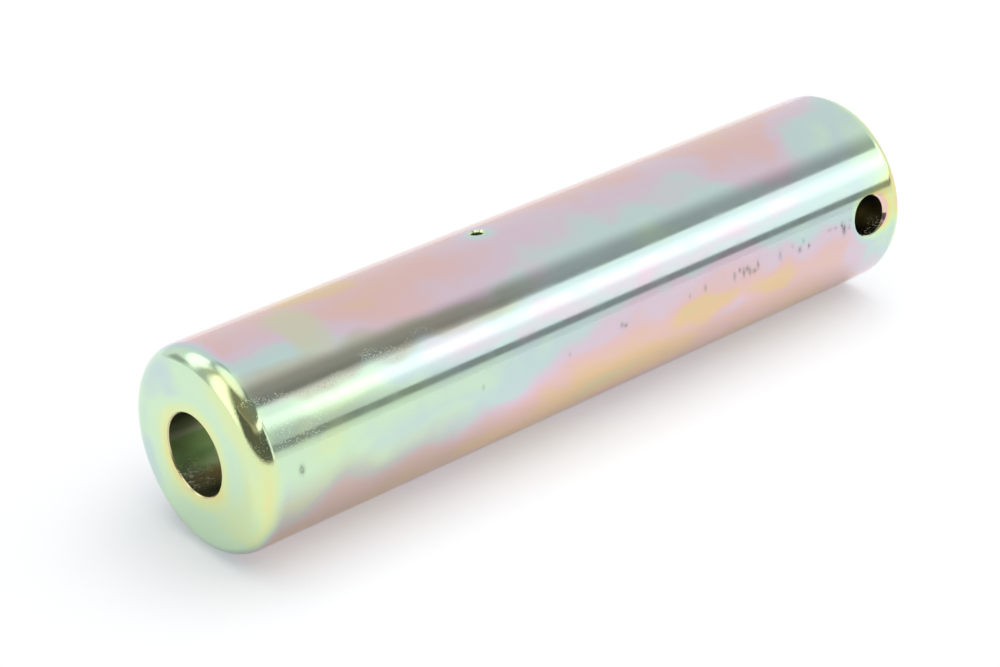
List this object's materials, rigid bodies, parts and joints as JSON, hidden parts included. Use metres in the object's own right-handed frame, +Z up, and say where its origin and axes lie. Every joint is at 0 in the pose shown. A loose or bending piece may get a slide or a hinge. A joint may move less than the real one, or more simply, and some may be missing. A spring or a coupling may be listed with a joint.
{
  "type": "pivot pin",
  "caption": "Round steel pivot pin with a rounded lip, a recessed grease bore in one end, a grease outlet in its side and a cross hole for a locking bolt near the other end.",
  "frame": {"origin": "centre of the plain end's face, on which the pin stands", "axes": "+Z up the pin's axis towards the greased end, +X out of the grease outlet, Y along the cross hole"},
  "size_m": [0.05, 0.05, 0.205],
  "materials": {
    "plated_steel": "turned and ground steel, bright zinc plated, with a pale yellow, green and pink iridescent passivate"
  },
  "bodies": {
    "root": {"pivot_pin": "plated_steel"}
  },
  "joints": []
}
